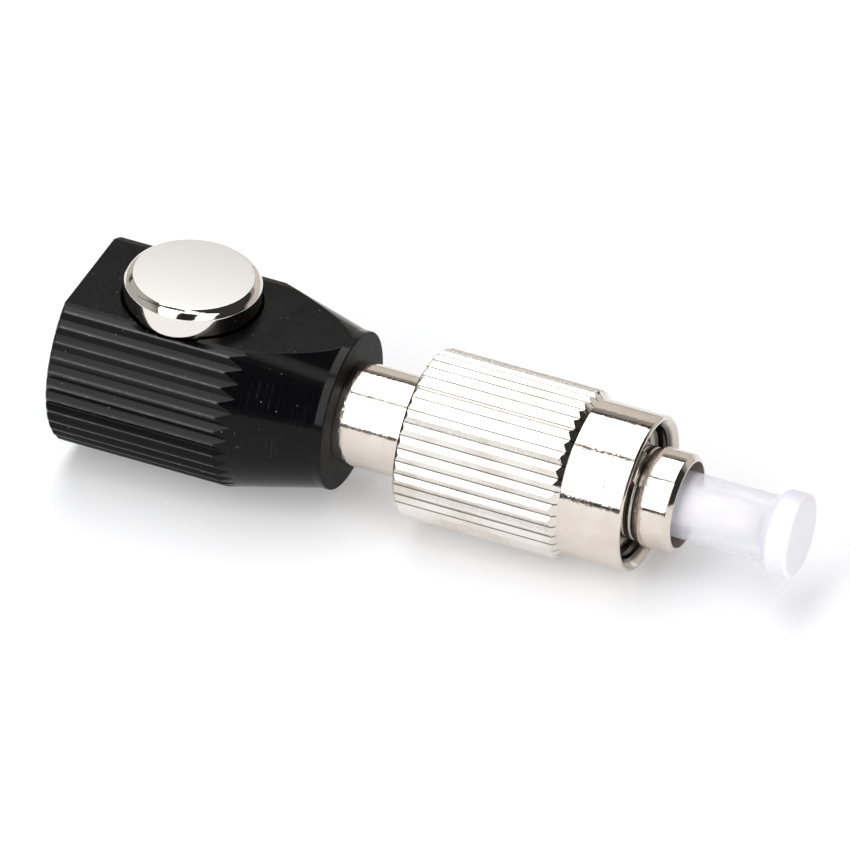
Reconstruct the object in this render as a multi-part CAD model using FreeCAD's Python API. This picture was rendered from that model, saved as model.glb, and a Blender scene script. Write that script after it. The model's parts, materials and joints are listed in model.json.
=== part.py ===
import FreeCAD, Part
import os
from math import cos, pi, sin

# Bare fibre adapter: a serrated clamp body with a sprung push button, and a round threaded fibre plug.
# Millimetres. +X runs along the fibre from the body's rear face to the plug, +Z points out of the button.

# Clamp body
BODY_RADIUS = 6.22
BODY_LENGTH = 16.83
SERRATED_LENGTH = 10.6
NOSE_RADIUS = 4.785
NOSE_LAND = 0.57
REAR_CHAMFER = 0.22
BODY_TEETH = 42
BODY_TOOTH_DEPTH = 0.27
LOW_RIDGE_ANGLE = 0.6
FLAT_HEIGHT = 4.755
CLAMP_WALL = 2.6

# Push button
BUTTON_X = 6.53
BUTTON_RADIUS = 4.06
BUTTON_PROUD = 1.695
BUTTON_BEVEL = 0.48
BUTTON_HEAD = 2.2
BUTTON_TRAVEL = 1.2
HEAD_ROOF = 0.8
HEAD_RIM = 0.45
STEM_RADIUS = 2.2
STEM_BELOW_HOLE = 3.0
CLAMP_HOLE_RADIUS = 0.6
POCKET_CLEARANCE = 0.15
POCKET_MARGIN = 0.9
STEM_MARGIN = 0.1
STEM_CLEARANCE = 0.04

# Rear guide tube, whose nose runs in a slot in the stem and holds the button in
GUIDE_RADIUS = 0.9
GUIDE_BORE = 0.55
GUIDE_NOSE = 0.6
GUIDE_FUNNEL = 0.25
SLOT_CLEARANCE = 0.06

# Barrel, from its spigot in the body to its spigot in the plug frame
SLEEVE_RADIUS = 3.08
SLEEVE_SHOWN = 4.6
SPIGOT_RADIUS = 2.6
FRAME_GRIP = 4.05
TAIL_ROOM = 3.0

# Coupling nut
KNURL_RADIUS = 5.12
KNURL_LENGTH = 9.77
NUT_TEETH = 39
NUT_TOOTH_DEPTH = 0.22
NUT_REAR_CHAMFER = 0.3
NUT_CONE = 0.5
COLLAR_STEP = 0.41
COLLAR_LENGTH = 3.88
COLLAR_EDGE = 0.12
NUT_REAR_WALL = 1.47
NUT_WALL = 1.12
THREAD_CHAMFER = 0.48
NUT_CLEARANCE = 0.09
NUT_STOP_GAP = 0.05

# Plug frame
RING_RADIUS = 3.0
RING_LENGTH = 2.0
RING_GAP = 0.4
RING_BEVEL = 0.3
RING_WALL = 0.4
NECK_LENGTH = 1.4
NECK_STEP = 0.18
NECK_GROOVES = 2
NECK_GROOVE_WIDTH = 0.22
NECK_GROOVE_DEPTH = 0.08
FRAME_WALL = 0.6
FLANGE_LENGTH = 1.0
FLANGE_CLEARANCE = 0.45
FRONT_BORE_DEPTH = 3.8
SHOULDER = 0.8
KEY_WIDTH = 2.0
KEY_LENGTH = 6.0
KEY_SETBACK = 0.05
KEY_CLEARANCE = 0.45
KEY_ANGLE = 29.0

# Ferrule, its holder and the tube behind it
FERRULE_RADIUS = 1.25
FERRULE_REACH = 4.4
FERRULE_SEAT = 4.0
FERRULE_TAPER = 0.35
FERRULE_TRAVEL = 1.0
FIBRE_BORE = 0.063
HOLDER_WALL = 0.4
HOLDER_FLANGE = 1.15
HOLDER_NOSE = 1.0
HOLDER_TAIL = 4.6
HOLDER_CLEARANCE = 0.1
HOLDER_GAP = 0.05
TAIL_WALL = 0.5
TUBE_RADIUS = 0.6
TUBE_BORE = 0.35
TUBE_CLEARANCE = 0.1
TUBE_END_GAP = 0.3

# Dust cap
CAP_RADIUS = 2.0
CAP_SHOWN = 5.4
CAP_CONE = 0.4
CAP_HEAD_RADIUS = 2.54
CAP_HEAD_LENGTH = 1.34
CAP_HEAD_ROUND = 0.3
CAP_MOUTH_GAP = 0.2
CAP_END_GAP = 0.5
CAP_FIT = 0.02

# Coil springs
BUTTON_WIRE = 0.3
BUTTON_TURNS = 4
FERRULE_WIRE = 0.36
FERRULE_TURNS = 6
SPRING_SEAT_GAP = 0.03
ARCS_PER_TURN = 3

# Pressed and screwed joints are drawn with this much radial room
PRESS_GAP = 0.01
# How far a cutting tool runs past the face it cuts through
OVERRUN = 1.0

# Heights at rest, above the fibre axis
button_top = FLAT_HEIGHT + BUTTON_PROUD
head_underside = button_top - BUTTON_HEAD
pocket_floor = head_underside - BUTTON_TRAVEL - POCKET_MARGIN
clamp_hole_height = BUTTON_TRAVEL
stem_end = clamp_hole_height - STEM_BELOW_HOLE
stem_hole_end = stem_end - BUTTON_TRAVEL - STEM_MARGIN
recess_roof = button_top - HEAD_ROOF

# Radii that follow from the pieces inside them
stem_bore = STEM_RADIUS + STEM_CLEARANCE
recess_radius = BUTTON_RADIUS - HEAD_RIM
tube_bore_in_barrel = TUBE_RADIUS + TUBE_CLEARANCE
frame_bore = RING_RADIUS - FRAME_WALL
ring_bore = RING_RADIUS - RING_WALL
collar_radius = KNURL_RADIUS - COLLAR_STEP
thread_radius = KNURL_RADIUS - NUT_WALL
neck_radius = RING_RADIUS - NECK_STEP
flange_radius = thread_radius - FLANGE_CLEARANCE
key_top = thread_radius - KEY_CLEARANCE
holder_neck = FERRULE_RADIUS + HOLDER_WALL
holder_tail = TUBE_RADIUS + TAIL_WALL

# Places along the fibre axis, from the body to the cap
spigot_seat = BUTTON_X + stem_bore + CLAMP_WALL
nut_rear = BODY_LENGTH + SLEEVE_SHOWN
frame_rear = nut_rear + NUT_REAR_WALL + NUT_STOP_GAP
knurl_front = nut_rear + KNURL_LENGTH
collar_rear = knurl_front + NUT_CONE
nut_front = collar_rear + COLLAR_LENGTH
ring_rear = nut_front + RING_GAP
ring_front = ring_rear + RING_LENGTH
shoulder_front = ring_front - FRONT_BORE_DEPTH
shoulder_rear = shoulder_front - SHOULDER
barrel_front = frame_rear + FRAME_GRIP
holder_front = shoulder_front + HOLDER_NOSE
flange_front = shoulder_rear - HOLDER_GAP
flange_rear = flange_front - HOLDER_FLANGE
tail_rear = flange_rear - HOLDER_TAIL
ferrule_rear = holder_front - FERRULE_SEAT
ferrule_tip = ring_front + FERRULE_REACH
tube_rear = BUTTON_X + STEM_RADIUS + FERRULE_TRAVEL + TUBE_END_GAP
cap_mouth = holder_front + CAP_MOUTH_GAP
cap_cone = ring_front + CAP_SHOWN
cap_head = cap_cone + CAP_CONE
cap_front = cap_head + CAP_HEAD_LENGTH

X_AXIS = FreeCAD.Vector(1, 0, 0)
Y_AXIS = FreeCAD.Vector(0, 1, 0)
Z_AXIS = FreeCAD.Vector(0, 0, 1)
ORIGIN = FreeCAD.Vector(0, 0, 0)


def along_x(x, radius):
    return FreeCAD.Vector(x, 0, radius)


def turned(outline):
    """A solid of revolution about the fibre axis, from (place, radius) corners."""
    corners = [along_x(x, radius) for x, radius in outline]
    face = Part.Face(Part.makePolygon(corners + corners[:1]))
    return face.revolve(ORIGIN, X_AXIS, 360)


def rod_x(radius, start, end):
    return Part.makeCylinder(radius, end - start, along_x(start, 0), X_AXIS)


def rod_z(radius, bottom, top):
    return Part.makeCylinder(radius, top - bottom, FreeCAD.Vector(BUTTON_X, 0, bottom), Z_AXIS)


def serrations(teeth, tip_radius, depth, start, end):
    """A prism of V teeth about the fibre axis, with a groove straight below."""
    half_pitch = pi / teeth
    corners = []
    for step in range(2 * teeth):
        angle = -pi / 2 + step * half_pitch
        radius = tip_radius if step % 2 else tip_radius - depth
        corners.append(FreeCAD.Vector(start, radius * cos(angle), radius * sin(angle)))
    face = Part.Face(Part.makePolygon(corners + corners[:1]))
    return face.extrude(X_AXIS * (end - start))


def coil(mean_radius, wire, length, turns):
    """A coil spring that stands on the origin along +Z, as arcs that each pass through three points of the helix."""
    rise = length - wire
    half_arcs = 2 * turns * ARCS_PER_TURN
    points = []
    for step in range(half_arcs + 1):
        angle = pi * step / ARCS_PER_TURN
        height = wire / 2 + rise * step / half_arcs
        points.append(FreeCAD.Vector(mean_radius * cos(angle), mean_radius * sin(angle), height))
    arcs = [Part.Arc(*points[step:step + 3]).toShape() for step in range(0, half_arcs, 2)]
    section = Part.Wire(Part.makeCircle(wire / 2, points[0], arcs[0].tangentAt(arcs[0].FirstParameter)))
    return Part.Wire(arcs).makePipeShell([section], True)


def make_body():
    blank = turned([
        (0, 0),
        (0, BODY_RADIUS - REAR_CHAMFER),
        (REAR_CHAMFER, BODY_RADIUS),
        (SERRATED_LENGTH, BODY_RADIUS),
        (BODY_LENGTH - NOSE_LAND, NOSE_RADIUS),
        (BODY_LENGTH, NOSE_RADIUS),
        (BODY_LENGTH, 0),
    ])
    teeth = serrations(BODY_TEETH, BODY_RADIUS, BODY_TOOTH_DEPTH, -OVERRUN, BODY_LENGTH + OVERRUN)
    # Half a tooth round brings a ridge straight below, and a few tenths of a degree more to its real place
    teeth.rotate(ORIGIN, X_AXIS, 180 / BODY_TEETH + LOW_RIDGE_ANGLE)
    flat = Part.makeBox(
        BODY_LENGTH + 2 * OVERRUN, 2 * BODY_RADIUS, BODY_RADIUS,
        FreeCAD.Vector(-OVERRUN, -BODY_RADIUS, FLAT_HEIGHT))
    pocket = rod_z(BUTTON_RADIUS + POCKET_CLEARANCE, pocket_floor, BODY_RADIUS + OVERRUN)
    stem_hole = rod_z(stem_bore, stem_hole_end, BODY_RADIUS)
    guide_hole = rod_x(GUIDE_RADIUS + PRESS_GAP, -OVERRUN, BUTTON_X)
    tube_hole = rod_x(tube_bore_in_barrel, BUTTON_X, BODY_LENGTH)
    spigot_hole = rod_x(SPIGOT_RADIUS + PRESS_GAP, spigot_seat, BODY_LENGTH + OVERRUN)
    return blank.common(teeth).cut([flat, pocket, stem_hole, guide_hole, tube_hole, spigot_hole])


def make_push_button():
    head = rod_z(BUTTON_RADIUS, head_underside, button_top)
    rim = [edge for edge in head.Edges if edge.BoundBox.ZMin > head_underside]
    spring_recess = rod_z(recess_radius, head_underside - OVERRUN, recess_roof)
    head = head.makeChamfer(BUTTON_BEVEL, rim).cut(spring_recess)
    stem = rod_z(STEM_RADIUS, stem_end, recess_roof)
    clamp_hole = rod_x(CLAMP_HOLE_RADIUS, 0, BUTTON_X + BUTTON_RADIUS)
    clamp_hole.translate(Z_AXIS * clamp_hole_height)
    slot_half_width = GUIDE_RADIUS + SLOT_CLEARANCE
    slot = Part.makeBox(
        GUIDE_NOSE + SLOT_CLEARANCE + OVERRUN, 2 * slot_half_width, 2 * slot_half_width + BUTTON_TRAVEL,
        FreeCAD.Vector(BUTTON_X - STEM_RADIUS - OVERRUN, -slot_half_width, -slot_half_width))
    return head.fuse(stem).cut([clamp_hole, slot]).removeSplitter()


def make_rear_guide_tube():
    nose = BUTTON_X - STEM_RADIUS + GUIDE_NOSE
    return turned([
        (0, GUIDE_BORE + GUIDE_FUNNEL),
        (0, GUIDE_RADIUS),
        (nose, GUIDE_RADIUS),
        (nose, GUIDE_BORE),
        (GUIDE_FUNNEL, GUIDE_BORE),
    ])


def make_barrel():
    front_spigot = frame_bore - PRESS_GAP
    blank = turned([
        (spigot_seat, 0),
        (spigot_seat, SPIGOT_RADIUS),
        (BODY_LENGTH, SPIGOT_RADIUS),
        (BODY_LENGTH, SLEEVE_RADIUS),
        (frame_rear, SLEEVE_RADIUS),
        (frame_rear, front_spigot),
        (barrel_front, front_spigot),
        (barrel_front, 0),
    ])
    tube_hole = rod_x(tube_bore_in_barrel, spigot_seat - OVERRUN, barrel_front)
    tail_hole = rod_x(holder_tail + 2 * TUBE_CLEARANCE, barrel_front - TAIL_ROOM, barrel_front + OVERRUN)
    return blank.cut([tube_hole, tail_hole])


def make_coupling_nut():
    blank = turned([
        (nut_rear, SLEEVE_RADIUS + NUT_CLEARANCE),
        (nut_rear, KNURL_RADIUS - NUT_REAR_CHAMFER),
        (nut_rear + NUT_REAR_CHAMFER, KNURL_RADIUS),
        (knurl_front, KNURL_RADIUS),
        (collar_rear, collar_radius),
        (nut_front - COLLAR_EDGE, collar_radius),
        (nut_front, collar_radius - COLLAR_EDGE),
        (nut_front, thread_radius + THREAD_CHAMFER),
        (nut_front - THREAD_CHAMFER, thread_radius),
        (nut_rear + NUT_REAR_WALL, thread_radius),
        (nut_rear + NUT_REAR_WALL, SLEEVE_RADIUS + NUT_CLEARANCE),
    ])
    teeth = serrations(NUT_TEETH, KNURL_RADIUS, NUT_TOOTH_DEPTH, nut_rear - OVERRUN, nut_front + OVERRUN)
    return blank.common(teeth)


def neck_outline():
    """Corners of the frame's grooved neck, from its rear end to its front end."""
    start = ring_rear - NECK_LENGTH
    spacing = NECK_LENGTH / (NECK_GROOVES + 1)
    corners = [(start, neck_radius)]
    for groove in range(1, NECK_GROOVES + 1):
        middle = start + groove * spacing
        corners += [
            (middle - NECK_GROOVE_WIDTH / 2, neck_radius),
            (middle, neck_radius - NECK_GROOVE_DEPTH),
            (middle + NECK_GROOVE_WIDTH / 2, neck_radius),
        ]
    return corners + [(ring_rear, neck_radius)]


def make_plug_frame():
    blank = turned([
        (frame_rear, frame_bore),
        (frame_rear, flange_radius),
        (frame_rear + FLANGE_LENGTH, flange_radius),
        (frame_rear + FLANGE_LENGTH, RING_RADIUS),
        (ring_rear - NECK_LENGTH, RING_RADIUS),
        *neck_outline(),
        (ring_rear, RING_RADIUS),
        (ring_front - RING_BEVEL, RING_RADIUS),
        (ring_front, RING_RADIUS - RING_BEVEL),
        (ring_front, ring_bore),
        (shoulder_front, ring_bore),
        (shoulder_front, holder_neck + HOLDER_CLEARANCE),
        (shoulder_rear, holder_neck + HOLDER_CLEARANCE),
        (shoulder_rear, frame_bore),
    ])
    key_front = nut_front - KEY_SETBACK
    key_root = (ring_bore + neck_radius) / 2
    key = Part.makeBox(
        KEY_LENGTH, KEY_WIDTH, key_top - key_root,
        FreeCAD.Vector(key_front - KEY_LENGTH, -KEY_WIDTH / 2, key_root))
    key = key.common(rod_x(key_top, key_front - KEY_LENGTH, key_front))
    key.rotate(ORIGIN, X_AXIS, KEY_ANGLE)
    return blank.fuse(key)


def make_ferrule_holder():
    return turned([
        (tail_rear, TUBE_RADIUS + PRESS_GAP),
        (tail_rear, holder_tail),
        (flange_rear, holder_tail),
        (flange_rear, frame_bore - HOLDER_CLEARANCE),
        (flange_front, frame_bore - HOLDER_CLEARANCE),
        (flange_front, holder_neck),
        (holder_front, holder_neck),
        (holder_front, FERRULE_RADIUS + PRESS_GAP),
        (ferrule_rear, FERRULE_RADIUS + PRESS_GAP),
        (ferrule_rear, TUBE_RADIUS + PRESS_GAP),
    ])


def make_ferrule():
    return turned([
        (ferrule_rear, TUBE_BORE),
        (ferrule_rear, FERRULE_RADIUS),
        (ferrule_tip - FERRULE_TAPER, FERRULE_RADIUS),
        (ferrule_tip, FERRULE_RADIUS - FERRULE_TAPER),
        (ferrule_tip, FIBRE_BORE),
        (ferrule_rear + TUBE_BORE, FIBRE_BORE),
    ])


def make_front_guide_tube():
    tube = rod_x(TUBE_RADIUS, tube_rear, ferrule_rear)
    return tube.cut(rod_x(TUBE_BORE, tube_rear - OVERRUN, ferrule_rear + OVERRUN))


def make_dust_cap():
    cap_bore = FERRULE_RADIUS + CAP_FIT
    bore_end = ferrule_tip + CAP_END_GAP
    cap = turned([
        (cap_mouth, cap_bore),
        (cap_mouth, CAP_RADIUS),
        (cap_cone, CAP_RADIUS),
        (cap_head, CAP_HEAD_RADIUS),
        (cap_front, CAP_HEAD_RADIUS),
        (cap_front, 0),
        (bore_end, 0),
        (bore_end, cap_bore),
    ])
    rim = [edge for edge in cap.Edges if edge.BoundBox.XMin > cap_head and edge.BoundBox.ZMax > CAP_RADIUS]
    return cap.makeFillet(CAP_HEAD_ROUND, rim)


def make_button_spring():
    length = recess_roof - pocket_floor - 2 * SPRING_SEAT_GAP
    spring = coil((STEM_RADIUS + recess_radius) / 2, BUTTON_WIRE, length, BUTTON_TURNS)
    spring.translate(FreeCAD.Vector(BUTTON_X, 0, pocket_floor + SPRING_SEAT_GAP))
    return spring


def make_ferrule_spring():
    length = flange_rear - barrel_front - 2 * SPRING_SEAT_GAP
    spring = coil((holder_tail + frame_bore) / 2, FERRULE_WIRE, length, FERRULE_TURNS)
    spring.rotate(ORIGIN, Y_AXIS, 90)
    spring.translate(along_x(barrel_front + SPRING_SEAT_GAP, 0))
    return spring


PIECES = {
    "body": make_body,
    "push_button": make_push_button,
    "button_spring": make_button_spring,
    "rear_guide_tube": make_rear_guide_tube,
    "barrel": make_barrel,
    "coupling_nut": make_coupling_nut,
    "plug_frame": make_plug_frame,
    "ferrule_holder": make_ferrule_holder,
    "ferrule": make_ferrule,
    "ferrule_spring": make_ferrule_spring,
    "front_guide_tube": make_front_guide_tube,
    "dust_cap": make_dust_cap,
}

os.makedirs("parts", exist_ok=True)
for node, make in PIECES.items():
    shape = make()
    shape.exportStep("parts/" + node + ".step")
    print(node, "solids", len(shape.Solids), "valid", shape.isValid(), "volume", round(shape.Volume, 3))
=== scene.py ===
# %% [markdown]
# # A bare fibre adapter
# This clamp holds a bare optical fibre for a test: a black serrated body with a push button, and a
# round plug with a knurled nut and a dust cap on its front. The solid model is loaded first and never
# moves. Each piece that shows, and each spring, is then made again as a surface with softened edges, in
# the same place.

# %% Load the solid model
import json

import bmesh
import bpy
import numpy as np
from mathutils import Matrix, Vector

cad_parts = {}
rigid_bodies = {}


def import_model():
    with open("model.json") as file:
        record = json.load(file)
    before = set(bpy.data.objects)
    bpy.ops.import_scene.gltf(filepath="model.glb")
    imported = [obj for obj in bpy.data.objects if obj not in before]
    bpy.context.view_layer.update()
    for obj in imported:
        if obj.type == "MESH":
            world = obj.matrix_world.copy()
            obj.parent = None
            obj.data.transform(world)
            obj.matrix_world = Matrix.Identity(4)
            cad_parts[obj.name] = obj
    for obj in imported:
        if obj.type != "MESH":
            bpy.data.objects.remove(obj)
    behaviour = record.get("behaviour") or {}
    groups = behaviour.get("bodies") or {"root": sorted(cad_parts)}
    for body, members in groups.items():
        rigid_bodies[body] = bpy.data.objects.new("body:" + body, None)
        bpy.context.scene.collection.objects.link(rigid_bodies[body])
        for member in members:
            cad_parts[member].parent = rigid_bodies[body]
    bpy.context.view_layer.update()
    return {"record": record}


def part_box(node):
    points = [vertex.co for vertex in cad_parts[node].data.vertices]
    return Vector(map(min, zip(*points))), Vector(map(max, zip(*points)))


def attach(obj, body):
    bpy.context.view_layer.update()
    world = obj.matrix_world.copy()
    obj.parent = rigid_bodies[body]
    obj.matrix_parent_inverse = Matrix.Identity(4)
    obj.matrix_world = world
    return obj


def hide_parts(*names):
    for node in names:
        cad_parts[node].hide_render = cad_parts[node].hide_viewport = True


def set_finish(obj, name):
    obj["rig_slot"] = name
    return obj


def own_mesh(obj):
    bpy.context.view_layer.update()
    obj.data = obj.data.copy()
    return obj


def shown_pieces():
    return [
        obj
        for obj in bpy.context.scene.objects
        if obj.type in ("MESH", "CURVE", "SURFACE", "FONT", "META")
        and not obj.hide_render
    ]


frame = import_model()
MM = 0.001

# %% [markdown]
# ## Turned pieces
# Almost every piece here comes off a lathe. A lathe part is a profile carried round an axis, so one
# small set of helpers makes them all. Real edges are never sharp: each corner of a profile becomes a
# small curve, which catches the light as a turned edge does. Screw and spin modifiers could do the
# same, but arrays let the profile change from one angle to the next, and the teeth need that.

# %% Read sizes off the solids
def span(node):
    """Lowest and highest corner of a solid, in millimetres."""
    return [np.array(corner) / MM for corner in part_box(node)]


body_low, body_high = span("body")
button_low, button_high = span("push_button")
barrel_low, barrel_high = span("barrel")
nut_low, nut_high = span("coupling_nut")
frame_low, frame_high = span("plug_frame")
ferrule_low, ferrule_high = span("ferrule")
cap_low, cap_high = span("dust_cap")
print("body", body_high.round(3), "nut", nut_low.round(3), nut_high.round(3))

# %% Soften a profile and carry it round an axis
TINY = 1e-9
LONGEST_REACH = 0.45


def corner_rows(*places):
    """Corners of a profile as an array (corner, column, 2). A place is (along, out), and a value that
    changes round the piece has one number for each column."""
    pairs = [np.stack(np.broadcast_arrays(*map(np.atleast_1d, place)), axis=-1) for place in places]
    columns = max(len(pair) for pair in pairs)
    return np.stack([np.broadcast_to(pair, (columns, 2)) for pair in pairs]).astype(float)


def soften(corners, reach, closed=False, steps=7):
    """Each corner becomes the parabola (1-t)^2 start + 2t(1-t) corner + t^2 end. Start and end lie on
    the corner's two sides, as far out as reach says, and never past a share of the shorter side. The
    reach is one length, or one for each corner. An open profile keeps its first and last corner."""
    ring = np.concatenate([corners[-1:], corners, corners[:1]]) if closed else corners
    corner = ring[1:-1]
    back, ahead = ring[:-2] - corner, ring[2:] - corner
    back_length = np.linalg.norm(back, axis=-1, keepdims=True) + TINY
    ahead_length = np.linalg.norm(ahead, axis=-1, keepdims=True) + TINY
    limit = LONGEST_REACH * np.minimum(back_length, ahead_length)
    reach = np.minimum(np.reshape(reach, (-1, 1, 1)), limit)
    start = (corner + back / back_length * reach)[:, None]
    end = (corner + ahead / ahead_length * reach)[:, None]
    t = np.linspace(0, 1, steps).reshape(1, -1, 1, 1)
    curves = (1 - t) ** 2 * start + 2 * t * (1 - t) * corner[:, None] + t ** 2 * end
    rows = curves.reshape(-1, *corners.shape[1:])
    return rows if closed else np.concatenate([corners[:1], rows, corners[-1:]])


def around_x(profile, angles):
    """Carries a profile round the fibre axis: (along, out cos angle, out sin angle)."""
    along, out = profile[..., 0], profile[..., 1]
    return np.stack(np.broadcast_arrays(along, out * np.cos(angles), out * np.sin(angles)), axis=-1)


def whole_turn(columns):
    """Angles of evenly spaced columns round a full turn."""
    return np.linspace(0, 2 * np.pi, columns, endpoint=False)


# %% Skin a grid of points
MERGE_M = 2e-8
CREASE = np.radians(40)


def close_up(mesh):
    """Merges the points that meet at a pole and turns every face outwards."""
    work = bmesh.new()
    work.from_mesh(mesh)
    bmesh.ops.remove_doubles(work, verts=work.verts, dist=MERGE_M)
    bmesh.ops.recalc_face_normals(work, faces=work.faces)
    work.to_mesh(mesh)
    work.free()


def skin(name, points, closed=False):
    """Joins neighbouring points of a (row, column, 3) grid with quads. The columns go all the way
    round, and a closed profile also joins its last row to its first."""
    index = np.arange(points.shape[0] * points.shape[1]).reshape(points.shape[:2])
    index = np.hstack([index, index[:, :1]])
    if closed:
        index = np.vstack([index, index[:1]])
    quads = np.stack([index[:-1, :-1], index[:-1, 1:], index[1:, 1:], index[1:, :-1]], axis=-1)
    mesh = bpy.data.meshes.new(name)
    mesh.from_pydata(points.reshape(-1, 3) * MM, [], quads.reshape(-1, 4))
    close_up(mesh)
    piece = bpy.data.objects.new(name, mesh)
    bpy.context.scene.collection.objects.link(piece)
    return piece


def machine(piece, tool, operation="DIFFERENCE"):
    """Cuts a closed tool shape out of a piece, or joins it on, and keeps the result as the mesh."""
    step = piece.modifiers.new("machine", "BOOLEAN")
    step.operation, step.solver, step.object = operation, "EXACT", tool
    graph = bpy.context.evaluated_depsgraph_get()
    mesh = bpy.data.meshes.new_from_object(piece.evaluated_get(graph))
    piece.modifiers.clear()
    piece.data = mesh
    bpy.data.objects.remove(tool)


def place_piece(piece, body, slot, *nodes):
    """Smooth shading up to the crease angle, then the body that carries the piece, the record's slot
    for its finish and the solids that it stands for."""
    piece.data.shade_smooth()
    piece.data.set_sharp_from_angle(angle=CREASE)
    piece.modifiers.new("even_shading", "WEIGHTED_NORMAL").keep_sharp = True
    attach(piece, body)
    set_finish(piece, slot)
    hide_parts(*nodes)
    triangles = len(piece.data.loops) - 2 * len(piece.data.polygons)
    print(piece.name, "rides on", body, "with", triangles, "triangles")


# %% [markdown]
# ## Clamp body
# The body is turned, then straight V grooves are rolled or cut along it, and a flat is milled on top.
# Each groove runs out in a point where it meets the cone. Cutting 42 grooves with Booleans would be
# slow, so the radius is one function of the angle: the smaller of the tooth and the flat. Where the
# cone starts then follows from that radius, and the points of the grooves come out by themselves. The
# lowest ridge is turned a little from straight below, as in the solid model.

# %% Teeth as a function of the angle
BODY_LENGTH, FLAT_HEIGHT = body_high[[0, 2]]
LOW_RIDGE_ANGLE = np.radians(0.6)
BODY_RADIUS = -body_low[2] / np.cos(LOW_RIDGE_ANGLE)
BODY_TEETH = 42
BODY_TOOTH_DEPTH = 0.27
BODY_GROOVE = -np.pi / 2 + LOW_RIDGE_ANGLE + np.pi / BODY_TEETH
SERRATED_LENGTH = 10.6
NOSE_RADIUS = 4.785
NOSE_LAND = 0.57
REAR_CHAMFER = 0.22
LEAST_EDGE = 0.05
EDGE_BLEND = 0.012
EDGE_COLUMNS = np.array([-12, -8, -5, -3, -1, 0, 1, 3, 5, 8, 12]) / 1000
LEAST_SINE = 0.1
TOOTH_STATIONS = np.array([0, 0.04, 0.1, 0.4, 0.46, 0.5, 0.54, 0.6, 0.9, 0.96])


def tooth_height(turns, rounding=0.07):
    """Height of a V tooth, 0 in the groove and 1 on the ridge: a straight flank whose ridge and groove
    are softened by a hyperbola. The angle is counted in teeth."""
    fall = np.abs(1 - 2 * (turns % 1))
    return np.where(fall < 0.5, 1 - np.hypot(fall, rounding), np.hypot(1 - fall, rounding))


def tooth_angles(teeth, groove):
    """Angles of the columns that follow each tooth's groove, flanks and ridge, from a groove's angle."""
    turns = (np.arange(teeth)[:, None] + TOOTH_STATIONS).ravel()
    return groove + turns * 2 * np.pi / teeth


def toothed_radius(angles, teeth, groove, tip, depth):
    """Radius of a toothed cylinder at each angle."""
    return tip - depth * (1 - tooth_height((angles - groove) * teeth / (2 * np.pi)))


scan = np.linspace(0, np.pi / 2, 20001)
scan_height = toothed_radius(scan, BODY_TEETH, BODY_GROOVE, BODY_RADIUS, BODY_TOOTH_DEPTH) * np.sin(scan)
flat_edge = scan[np.argmax(scan_height > FLAT_HEIGHT)]
near_edge = flat_edge + EDGE_COLUMNS
body_angles = np.unique(np.concatenate(
    [tooth_angles(BODY_TEETH, BODY_GROOVE), near_edge, np.pi - near_edge]))
tooth_limit = toothed_radius(body_angles, BODY_TEETH, BODY_GROOVE, BODY_RADIUS, BODY_TOOTH_DEPTH)
flat_limit = FLAT_HEIGHT / np.maximum(np.sin(body_angles), LEAST_SINE)
body_limit = -EDGE_BLEND * np.logaddexp(-tooth_limit / EDGE_BLEND, -flat_limit / EDGE_BLEND)
print("flat edge at", round(float(np.degrees(flat_edge)), 2), "degrees,", len(body_angles), "columns")

# %% Turn the body
BUTTON_X = (button_low[0] + button_high[0]) / 2
GUIDE_HOLE = 0.91
TUBE_HOLE = 0.7
SPIGOT_HOLE = 2.61
HOLE_END_GAP = 0.13

rear_edge = np.maximum(body_limit - (BODY_RADIUS - REAR_CHAMFER), LEAST_EDGE)
land_start = BODY_LENGTH - NOSE_LAND
cone_run = (land_start - SERRATED_LENGTH) / (BODY_RADIUS - NOSE_RADIUS)
groove_end = np.minimum(SERRATED_LENGTH + (BODY_RADIUS - body_limit) * cone_run, land_start)
nose_limit = np.minimum(body_limit, NOSE_RADIUS)
body_profile = soften(corner_rows(
    (BUTTON_X - HOLE_END_GAP, 0),
    (BUTTON_X - HOLE_END_GAP, GUIDE_HOLE),
    (0, GUIDE_HOLE),
    (0, body_limit - rear_edge),
    (rear_edge, body_limit),
    (groove_end, body_limit),
    (land_start, nose_limit),
    (BODY_LENGTH, nose_limit),
    (BODY_LENGTH, SPIGOT_HOLE),
    (barrel_low[0], SPIGOT_HOLE),
    (barrel_low[0], TUBE_HOLE),
    (BUTTON_X + HOLE_END_GAP, TUBE_HOLE),
    (BUTTON_X + HOLE_END_GAP, 0),
), reach=[0.03, 0.03, 0.08, 0.06, 0.05, 0.06, 0.09, 0.05, 0.03, 0.03, 0.03])
body = skin("clamp_body", around_x(body_profile, body_angles))
print("body rows and columns:", body_profile.shape[:2])

# %% [markdown]
# The button sits in a round pocket that is a little wider than the flat, so the pocket breaks out
# through both long edges of the flat. That crossing of a cylinder and a toothed cylinder is what a
# Boolean is good at, so one stepped tool, again a turned shape, cuts the pocket and the stem's bore.

# %% Cut the pocket and the stem's bore
POCKET_RADIUS = 4.21
POCKET_FLOOR = 2.15
STEM_BORE = 2.24
STEM_BORE_END = -3.1
TOOL_TOP = BODY_RADIUS + 2


def around_z(profile, angles):
    """Carries a profile of (height, out) round the button's axis."""
    height, out = profile[..., 0], profile[..., 1]
    x, y = BUTTON_X + out * np.cos(angles), out * np.sin(angles)
    return np.stack(np.broadcast_arrays(x, y, height), axis=-1)


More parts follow.
